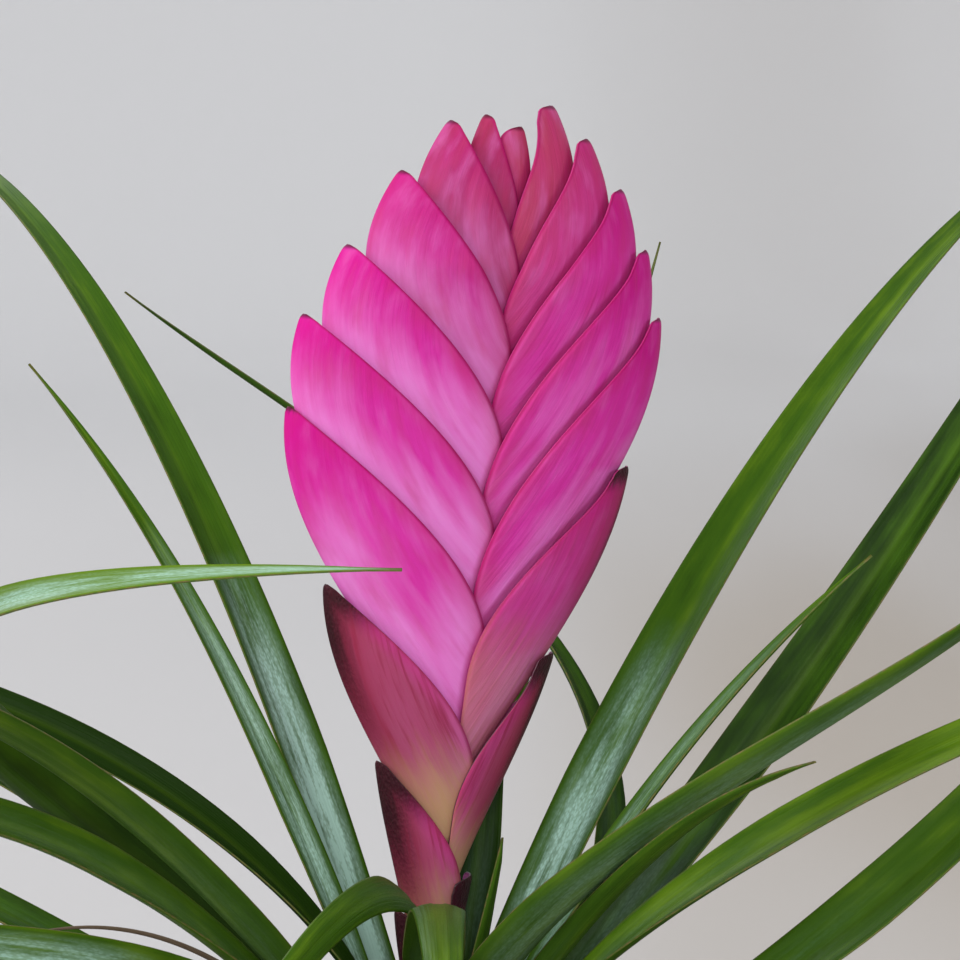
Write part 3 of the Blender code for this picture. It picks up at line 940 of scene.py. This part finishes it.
def bract_surface(index, rows, columns):
    """Rows of points over the outer face, from the join to the tip, and the marks on them."""
    name, join, tip, reach, early, dry = BRACTS[index]
    side = bract_side(index)
    surface, spots = [], []
    marks = {"bare": [], "rim": [], "fold": [], "tip": []}
    for row in range(rows + 1):
        share = row / rows
        share = share * (1.6 - 0.6 * share)
        height = mix(join, tip - 0.1, share)
        below = tip - height
        corner = 1.0 - min(1.0, below / TIP_CORNER)
        rounding = 0.45 * TIP_CORNER * (1.0 - math.sqrt(1.0 - corner**2))
        keel = bract_keel(index, height) - rounding
        depth = bract_depth(index, height)
        ends = []
        for overlap in (OVERLAP_BACK[side], OVERLAP_FRONT[side]):
            margin = bract_margin(index, height, overlap)
            ends.append(math.acos(clamp(margin / keel, -0.95, 0.99)))
        opened = (below - 4.0) / 14.0 if side == RIGHT else below / 10.0
        ends[0] *= mix(0.3, 1.0, clamp(opened))
        points, bare = [], []
        angles = [mix(-ends[0], ends[1], column / columns) for column in range(columns + 1)]
        for angle in angles:
            out = keel * math.cos(angle)
            front = math.copysign(depth * abs(math.sin(angle)) ** KEEL_POWER, angle)
            points.append(spike_point(height, side * out, front))
            bare.append(bare_distance(index, height, out, angle > 0.0))
        steps = [(second - first).length for first, second in zip(points, points[1:])]
        whole = sum(steps)
        so_far = [sum(steps[:column]) for column in range(columns + 1)]
        fold_at = so_far[min(range(columns + 1), key=lambda column: abs(angles[column]))]
        length = 0.1 * height + BRACT_PATTERN_STEP * index
        surface.append(points)
        spots.append([(0.1 * (place - fold_at), length) for place in so_far])
        marks["bare"].append(bare)
        marks["rim"].append([min(place, whole - place) for place in so_far])
        marks["fold"].append([abs(place - fold_at) for place in so_far])
        marks["tip"].append([below] * (columns + 1))
    return surface, spots, marks


# %% [markdown]
# ## Finish of the bracts
#
# The colour is laid in steps, as a painter would: a pale pink ground, a vivid magenta that deepens
# away from the bract below, a duller rose on the young bracts at the top, a saturated tip, and a
# fine dark line at the margin, partly painted contact shade. Painted shade also darkens each bract
# where it slips under the one below, and the ground of the bracts on the right side, which turn
# from the lamp. Their young ones get a lighter rose, painted to even out the lamp on the left.
# The lowest bracts have begun to dry: their tips and keels are almost black, and their bases fade
# to olive and tan.

# %% Bract finishes
PINK_PALE = (0.710, 0.205, 0.570)
PINK_VIVID = (0.600, 0.034, 0.330)
PINK_ROSE = (0.440, 0.034, 0.120)
PINK_YOUNG = (0.250, 0.018, 0.055)
# a lighter copy of the young rose for the right side: painted light that evens out the lamp on the
# left
PINK_YOUNG_RIGHT_LIGHTER = (0.420, 0.055, 0.115)
PINK_DEEP = (0.480, 0.001, 0.200)
# the dark line of a margin, partly its own colour and partly painted contact shade, also used as
# painted shade where a bract slips under the one below
PINK_LINE_AND_SHADE = (0.300, 0.004, 0.080)
DRY_DARK = (0.022, 0.008, 0.010)
DRY_RED = (0.235, 0.020, 0.050)
DRY_ROSE = (0.310, 0.056, 0.108)
BASE_TAN = (0.470, 0.300, 0.150)


def make_bract_group():
    group, given, result = start_group(
        "bract_colour",
        (
            ("Place", "Vector", None), ("Lines", "Float", 0.5), ("Streaks", "Float", 0.5),
            ("Bare", "Float", 5.0), ("Rim", "Float", 5.0), ("Fold", "Float", 5.0),
            ("Tip", "Float", 5.0), ("Deep", "Float", 0.0), ("Young", "Float", 0.0),
            ("Dry", "Float", 0.0),
        ),
        (("Colour", "Color"), ("Dryness", "Float")),
    )
    place, tip, rim, fold = given["Place"], given["Tip"], given["Rim"], given["Fold"]
    lines, dry = given["Lines"], given["Dry"]
    # ground: pale beside the bract below, vivid away from it, rosy near its own margin
    patch = cloud(group, stretched(group, place, (1.6, 0.5, 1.0)), 1.6, 3.0)
    uneven = scaled(group, patch, 0.9, -0.45)
    uneven = scaled(group, given["Streaks"], 0.30, calc(group, "ADD", uneven, -0.15))
    # painted shade: on the bracts of the right side, turned from the lamp, the ground is pushed
    # towards the darker vivid magenta
    from_below = calc(group, "ADD", given["Bare"], given["Deep"])
    away = calc(group, "ADD", fade(group, from_below, -0.5, 18.0), uneven, limit=True)
    near_rim = times(group, fade(group, rim, 5.0, 0.3), 0.50)
    # the tip is the deepest pink, and the colour runs down from it in streaks
    at_tip = times(group, fade(group, scaled(group, lines, 7.0, tip), 26.0, 4.0), 0.95)
    # the young bracts are a duller rose, in patches; on the right side a lighter copy is painted, to
    # even out the lamp that lights the left side more
    young = scaled(group, uneven, 0.7, 0.85)
    young = calc(group, "MULTIPLY", given["Young"], young, limit=True)
    rose = blend(group, fade(group, given["Deep"], 2.0, 8.0), PINK_YOUNG, PINK_YOUNG_RIGHT_LIGHTER)
    # soft mottling, strongest on the young ones
    mottle = cloud(group, stretched(group, place, (2.2, 0.7, 1.0)), 1.5, 3.0)
    strength = scaled(group, given["Young"], 0.10, 0.20)
    pale_spot = times(group, fade(group, mottle, 0.45, 0.80), strength)
    deep_spot = times(group, fade(group, mottle, 0.55, 0.25), strength, 1.5)
    # painted shade where the bract slips under the one below, a fine dark line at its own margin
    # (its own colour, partly painted contact shade) and a dark speck at its very tip
    under = times(group, fade(group, given["Bare"], 1.1, -0.2), 0.55)
    line = times(group, fade(group, rim, 0.85, 0.15), 0.8)
    notch = times(group, fade(group, tip, 1.1, 0.3), 0.75)
    colour = lay(
        group, PINK_PALE, (away, PINK_VIVID), (near_rim, PINK_ROSE), (at_tip, PINK_DEEP),
        (times(group, lines, 0.14), PINK_DEEP), (young, rose), (pale_spot, PINK_PALE),
        (deep_spot, PINK_ROSE), (under, PINK_LINE_AND_SHADE), (line, PINK_LINE_AND_SHADE), (notch, DRY_DARK),
    )
    # drying: first a dusty rose with red veins, then a tan base and a red fold
    dusty = fade(group, dry, 0.25, 0.75)
    rosy = times(group, dusty, fade(group, rim, 0.5, 5.0, 0.48, 0.92))
    veins = times(group, fade(group, lines, 0.45, 0.80), dusty, 0.75)
    tan_from = fade(group, dry, 0.75, 0.95, 27.0, 18.0)
    past = calc(group, "SUBTRACT", scaled(group, lines, 6.0, tip), tan_from)
    low = fade(group, scaled(group, uneven, 8.0, past), 0.0, 15.0)
    reddish = times(group, fade(group, fold, 9.0, 2.0), fade(group, dry, 0.1, 0.7))
    reddish = times(group, reddish, fade(group, tip, 44.0, 18.0), 0.85)
    # last, an almost black fold and tip
    fold_share = calc(group, "DIVIDE", scaled(group, lines, 2.2, fold), scaled(group, dry, 9.0, 0.01))
    dark_fold = times(
        group, fade(group, fold_share, 1.0, 0.35), fade(group, dry, 0.1, 0.6),
        fade(group, tip, 34.0, 8.0),
    )
    from_tip = scaled(group, lines, 2.5, tip)
    dark_tip = fade(group, from_tip, times(group, dry, 14.0), times(group, dry, 5.0))
    dark_tip = times(group, dark_tip, fade(group, dry, 0.0, 0.3))
    dark = calc(group, "MAXIMUM", dark_fold, dark_tip)
    colour = lay(
        group, colour, (rosy, DRY_ROSE), (veins, DRY_RED), (times(group, low, dusty, 0.85), BASE_TAN),
        (reddish, DRY_RED), (times(group, dark, 0.95), DRY_DARK),
    )
    feed(group, result["Colour"], colour)
    feed(group, result["Dryness"], dark)
    return group


bract_group = make_bract_group()


def make_bract_finish(name, pale):
    made, tree, shader = new_finish(
        name, Roughness=0.42, Specular_IOR_Level=0.06, Subsurface_Weight=0.12,
        Subsurface_Scale=0.003, Subsurface_Radius=(1.0, 0.15, 0.6),
    )
    place = uv_place(tree, "blade")
    lines = use_group(tree, vein_group, Place=place, Count=7.5, Drift=0.45, Even=0.04)
    look = use_group(
        tree, bract_group, Place=place, Lines=lines["Lines"], Streaks=lines["Streaks"],
        Bare=attribute(tree, "bare"), Rim=attribute(tree, "rim"), Fold=attribute(tree, "fold"),
        Tip=attribute(tree, "tip"), Deep=attribute(tree, "right_shade"),
        Young=attribute(tree, "young"), Dry=attribute(tree, "dry"),
    )
    feed(tree, shader.inputs["Base Color"], blend(tree, pale, look["Colour"], PINK_PALE))
    crumple = cells(tree, stretched(tree, place, (22.0, 14.0, 1.0)), 1.0)
    rough = scaled(tree, lines["Lines"], 0.14, 0.36)
    feed(tree, shader.inputs["Roughness"], rough)
    dented = times(tree, crumple, look["Dryness"])
    height = scaled(tree, dented, 2.2, lines["Lines"])
    feed(tree, shader.inputs["Normal"], bumped(tree, height, 0.00016, 0.6))
    return made


def make_bract_margin():
    made, tree, shader = new_finish("bract_margin", Roughness=0.45)
    dry = fade(tree, attribute(tree, "dry"), 0.2, 0.9)
    streak = cloud(tree, stretched(tree, uv_place(tree, "blade"), (1.0, 3.0, 1.0)), 4.0)
    # the dark edge of the margin, partly painted contact shade
    pink = blend(tree, streak, PINK_LINE_AND_SHADE, PINK_DEEP)
    feed(tree, shader.inputs["Base Color"], blend(tree, dry, pink, DRY_DARK))
    return made


bract_finishes = (
    make_bract_finish("bract_outer_face", 0.0),
    make_bract_finish("bract_inner_face", 0.35),
    make_bract_margin(),
)
print("bract finishes:", [finish.name for finish in bract_finishes])


# %% Grow the bracts
def grow_bract(index):
    name, join, tip, reach, early, dry = BRACTS[index]
    surface, spots, marks = bract_surface(index, BRACT_ROWS, BRACT_COLUMNS)
    young = clamp((index - 10.5) / 4.5)
    right = bract_side(index) == RIGHT
    # painted shade for the bracts on the right side, which turn from the lamp; it also switches their
    # young ones to a lighter rose
    right_shade = 6.0 + 1.5 * max(0.0, index - 7.0) if right else 0.0
    for mark, amount in (("right_shade", right_shade), ("young", young), ("dry", dry)):
        marks[mark] = [[amount] * (BRACT_COLUMNS + 1) for row in surface]
    if right:
        surface = [row[::-1] for row in surface]
        spots = [row[::-1] for row in spots]
        marks = {mark: [row[::-1] for row in rows] for mark, rows in marks.items()}
    piece = bent_sheet(name + "_wing", surface, spots, marks, BRACT_THICK, 0.45, bract_finishes)
    return dress(piece, name)


bract_pieces = [grow_bract(index) for index in range(len(BRACTS))]
print("bracts grown:", len(bract_pieces))

# %% [markdown]
# ## Stalk and crown
#
# The stalk runs from the crown up through the fan. Little of it shows, so a ring pulled along the
# spike's own curve is enough, with a small swelling where each bract joins. The crown is the stub
# of stem that every leaf grows on; it is turned, with a ring for each lost leaf.


# %% Stalk and crown
STALK_RINGS = 120
CROWN_RINGS = 30
CROWN_DEPTH = 26.0


def make_stem_finish(name, low, high, roughness):
    made, tree, shader = new_finish(name, Roughness=roughness)
    place = object_place(tree)
    fibre = cloud(tree, stretched(tree, place, (900.0, 900.0, 60.0)), 1.0, 3.0)
    patch = cloud(tree, place, 120.0, 3.0)
    share = scaled(tree, fibre, 0.6, times(tree, patch, 0.5), limit=True)
    feed(tree, shader.inputs["Base Color"], blend(tree, share, low, high))
    feed(tree, shader.inputs["Normal"], bumped(tree, fibre, 0.0003, 0.6))
    return made


def make_stalk():
    """A cylinder cut into many rings, each ring laid round the spike's own axis."""
    shape = bmesh.new()
    bmesh.ops.create_cone(shape, cap_ends=True, segments=20, radius1=1.0, radius2=1.0, depth=1.0)
    sides = [edge for edge in shape.edges if abs(edge.verts[0].co.z - edge.verts[1].co.z) > 0.5]
    bmesh.ops.subdivide_edges(shape, edges=sides, cuts=STALK_RINGS, use_grid_fill=True)
    for vertex in shape.verts:
        height = mix(SCAPE_FOOT, RACHIS_TOP, vertex.co.z + 0.5)
        near = max(math.exp(-(((height - join) / 1.6) ** 2)) for join in joins)
        radius = rachis_radius(height) + 0.8 * GAP * near
        vertex.co = spike_point(height, radius * vertex.co.x, radius * vertex.co.y) * MM
    bmesh.ops.recalc_face_normals(shape, faces=shape.faces)
    finish = make_stem_finish("stalk_skin", (0.30, 0.10, 0.035), (0.50, 0.26, 0.09), 0.45)
    return dress(finish_mesh("flower_stalk", shape, finish), "scape")


def make_crown():
    """A turned stub with a shallow ring for each lost leaf."""
    low = SOIL_TOP - CROWN_DEPTH + GAP
    profile = [(0.0, CROWN_TOP - 0.2), (CROWN_TOP_R - 0.8, CROWN_TOP - 0.2)]
    for ring in range(CROWN_RINGS + 1):
        share = ring / CROWN_RINGS
        height = mix(CROWN_TOP - 0.8, SOIL_TOP + 2.0, share)
        profile.append((mix(CROWN_TOP_R, CROWN_R, share) - 0.25 * (ring % 2), height))
    profile += [(CROWN_R, low + 1.0), (CROWN_R - 1.0, low), (0.0, low)]
    finish = make_stem_finish("crown_skin", (0.035, 0.024, 0.012), (0.120, 0.100, 0.040), 0.7)
    return dress(finish_mesh("crown_stub", spun(profile, 48), finish), "crown")


stalk_piece = make_stalk()
crown_piece = make_crown()
print("stem:", stalk_piece.name, "and", crown_piece.name)

# %% [markdown]
# ## Pot, soil and bark
#
# The pot is plain fired clay: a tapered wall, a thick rolled rim and drain holes in the floor. A
# profile with rounded corners is turned round the upright axis. The soil is a turned bed with an
# uneven top, and loose bark and a few white grains of perlite lie on it.

# %% Pot
POT_HEIGHT = 95.0
POT_FOOT_R = 38.0
POT_RIM_R = 56.0
POT_WALL = 4.0
POT_FLOOR = 6.0
RIM_HEIGHT = 22.0
RIM_STEP = 3.0
FLOOR_ROUNDING = 3.0
DRAIN_RING_R = 20.0
DRAIN_R = 5.0
DRAIN_COUNT = 4
DRILL_LENGTH = 20.0
CLAY_DARK = (0.330, 0.120, 0.060)
CLAY_LIGHT = (0.560, 0.260, 0.150)
CLAY_BLOOM = (0.620, 0.480, 0.380)


def make_clay_finish():
    made, tree, shader = new_finish("fired_clay", Roughness=0.85, Specular_IOR_Level=0.25)
    place = object_place(tree)
    broad = cloud(tree, place, 22.0, 4.0)
    grit = cloud(tree, place, 900.0, 3.0, 0.7)
    turning = cloud(tree, stretched(tree, place, (4.0, 4.0, 420.0)), 1.0, 2.0)
    tone = scaled(tree, grit, 0.35, scaled(tree, broad, 0.7, -0.05), limit=True)
    low = fade(tree, split(tree, place)["Z"], 0.045, 0.0)
    stains = fade(tree, cloud(tree, place, 60.0, 5.0, 0.65), 0.48, 0.72)
    bloom = times(tree, stains, scaled(tree, low, 0.5, 0.25))
    clay = lay(tree, CLAY_DARK, (tone, CLAY_LIGHT), (bloom, CLAY_BLOOM))
    feed(tree, shader.inputs["Base Color"], clay)
    feed(tree, shader.inputs["Roughness"], scaled(tree, grit, 0.2, 0.75))
    height = scaled(tree, turning, 0.8, times(tree, grit, 0.5))
    feed(tree, shader.inputs["Normal"], bumped(tree, height, 0.0004, 0.7))
    return made


def pot_wall_radius(height):
    return mix(POT_FOOT_R, POT_RIM_R - RIM_STEP, height / POT_HEIGHT)


def pot_inside():
    return pot_wall_radius(POT_FLOOR) - POT_WALL, POT_RIM_R - POT_WALL - 1.0


def rounded_profile(corners_given, steps=5):
    """Each (radius, height, rounding) corner becomes a short curve."""
    made = []
    count = len(corners_given)
    for index, (radius, height, rounding) in enumerate(corners_given):
        here = Vector((radius, height))
        if rounding <= 0.0:
            made.append((radius, height))
            continue
        before = Vector(corners_given[index - 1][:2])
        after = Vector(corners_given[(index + 1) % count][:2])
        first = here + (before - here).normalized() * rounding
        last = here + (after - here).normalized() * rounding
        for step in range(steps + 1):
            share = step / steps
            point = first.lerp(here, share).lerp(here.lerp(last, share), share)
            made.append((point.x, point.y))
    return made


def make_pot():
    rim_low = POT_HEIGHT - RIM_HEIGHT
    inner_foot, inner_top = pot_inside()
    profile = rounded_profile((
        (0.0, POT_FLOOR, 0.0),
        (inner_foot, POT_FLOOR, FLOOR_ROUNDING),
        (inner_top, POT_HEIGHT, 1.2),
        (POT_RIM_R, POT_HEIGHT, 2.2),
        (POT_RIM_R - 2.0, rim_low, 1.6),
        (pot_wall_radius(rim_low), rim_low - 0.6, 0.8),
        (POT_FOOT_R, 0.0, 2.0),
        (POT_FOOT_R - 7.0, 0.0, 0.8),
        (POT_FOOT_R - 9.0, 0.0, 0.0),
        (0.0, 0.0, 0.0),
    ))
    pot = finish_mesh("clay_pot", spun(profile, 112), make_clay_finish())
    holes = bmesh.new()
    for index in range(DRAIN_COUNT):
        turn = 2.0 * math.pi * (index + 0.5) / DRAIN_COUNT
        made = bmesh.ops.create_cone(
            holes, cap_ends=True, segments=40, radius1=DRAIN_R * MM, radius2=DRAIN_R * MM,
            depth=DRILL_LENGTH * MM,
        )
        middle = Vector((DRAIN_RING_R * math.cos(turn), DRAIN_RING_R * math.sin(turn), 2.0)) * MM
        bmesh.ops.translate(holes, verts=made["verts"], vec=middle)
    drill = finish_mesh("drill", holes, make_clay_finish())
    cut = pot.modifiers.new("drain_holes", "BOOLEAN")
    cut.operation = "DIFFERENCE"
    cut.solver = "EXACT"
    cut.object = drill
    graph = bpy.context.evaluated_depsgraph_get()
    drilled = bpy.data.meshes.new_from_object(pot.evaluated_get(graph))
    pot.modifiers.clear()
    pot.data = drilled
    bpy.data.objects.remove(drill, do_unlink=True)
    return dress(pot, "pot")


pot_piece = make_pot()
print("pot:", len(pot_piece.data.polygons), "faces")

# %% Soil, bark and perlite
BARK_COUNT = 520
PERLITE_COUNT = 46
SCATTER_R = 46.0
SOIL_RINGS = 22
SOIL_TONES = ((0.018, 0.011, 0.007), (0.075, 0.045, 0.026))
BARK_TONES = ((0.045, 0.022, 0.012), (0.210, 0.110, 0.055))
PERLITE_TONES = ((0.55, 0.54, 0.51), (0.80, 0.79, 0.76))


def make_bark_finish(name, dark, light):
    made, tree, shader = new_finish(name, Roughness=0.95, Specular_IOR_Level=0.2)
    place = object_place(tree)
    broad = cloud(tree, place, 160.0, 2.0)
    fibre = cloud(tree, place, 1500.0, 4.0, 0.7)
    tone = scaled(tree, fibre, 0.6, scaled(tree, broad, 1.2, -0.45), limit=True)
    feed(tree, shader.inputs["Base Color"], blend(tree, tone, dark, light))
    feed(tree, shader.inputs["Normal"], bumped(tree, fibre, 0.0006, 0.8))
    return made


def soil_top(x, y):
    """Height of the uneven soil at a place, in millimetres."""
    return SOIL_TOP - 1.2 + 1.6 * noise.noise(Vector((x * 0.09, y * 0.09, 3.0)))


def make_soil():
    inner_foot, inner_top = pot_inside()
    fill = (SOIL_TOP - POT_FLOOR) / (POT_HEIGHT - POT_FLOOR)
    low_r = inner_foot - 1.5 * GAP
    high_r = mix(inner_foot, inner_top, fill) - 1.5 * GAP
    hole_r = CROWN_R + GAP
    low = SOIL_TOP - CROWN_DEPTH
    floor = POT_FLOOR + GAP
    shares = [ring / SOIL_RINGS for ring in range(SOIL_RINGS + 1)]
    profile = [(mix(hole_r, high_r, share), SOIL_TOP) for share in shares]
    profile += [(low_r, floor + FLOOR_ROUNDING), (low_r - FLOOR_ROUNDING, floor)]
    profile += [(0.0, floor), (0.0, low), (hole_r, low)]
    shape = spun(profile, 72)
    for vertex in shape.verts:
        if vertex.co.z > (SOIL_TOP - 0.5) * MM:
            x, y = vertex.co.x / MM, vertex.co.y / MM
            crumb = 0.4 * noise.noise(Vector((x * 0.7, y * 0.7, 0.0)))
            vertex.co.z = (soil_top(x, y) + crumb) * MM
    finish = make_bark_finish("soil_bed", *SOIL_TONES)
    return dress(finish_mesh("soil_bed", shape, finish), "soil")


def scatter(name, count, sizes, squash, finish, seed, sink):
    """Small rough lumps laid on the soil, all in one piece."""
    draw = random.Random(seed)
    shape = bmesh.new()
    for index in range(count):
        radius = math.sqrt(draw.uniform((CROWN_R + 4.0) ** 2, SCATTER_R**2))
        turn = draw.uniform(0.0, 2.0 * math.pi)
        size = draw.uniform(*sizes)
        x, y = radius * math.cos(turn), radius * math.sin(turn)
        made = bmesh.ops.create_icosphere(shape, subdivisions=1, radius=0.5)["verts"]
        length, breadth = draw.uniform(0.7, 1.5), draw.uniform(0.6, 1.0)
        stretch = Vector((length, breadth, squash * draw.uniform(0.6, 1.2)))
        normal = Vector((draw.uniform(-0.5, 0.5), draw.uniform(-0.5, 0.5), 1.0))
        tilt = normal.to_track_quat("Z", "Y")
        spin = draw.uniform(0.0, math.pi)
        for vertex in made:
            point = vertex.co * (1.0 + draw.uniform(-0.18, 0.18))
            point = point * stretch
            point.rotate(Matrix.Rotation(spin, 3, "Z"))
            point.rotate(tilt)
            lift = soil_top(x, y) + size * sink
            vertex.co = (point * size + Vector((x, y, lift))) * MM
    piece = finish_mesh(name, shape, finish, smooth=False)
    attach(piece, ROOT)
    return piece


soil_piece = make_soil()
bark_finish = make_bark_finish("bark_chip", *BARK_TONES)
bark_piece = scatter("bark_chips", BARK_COUNT, (3.0, 8.0), 0.42, bark_finish, 11, 0.12)
perlite_finish = make_bark_finish("perlite_grain", *PERLITE_TONES)
perlite_piece = scatter("perlite", PERLITE_COUNT, (1.6, 3.2), 0.9, perlite_finish, 5, 0.35)
print("soil pieces:", [piece.name for piece in (soil_piece, bark_piece, perlite_piece)])
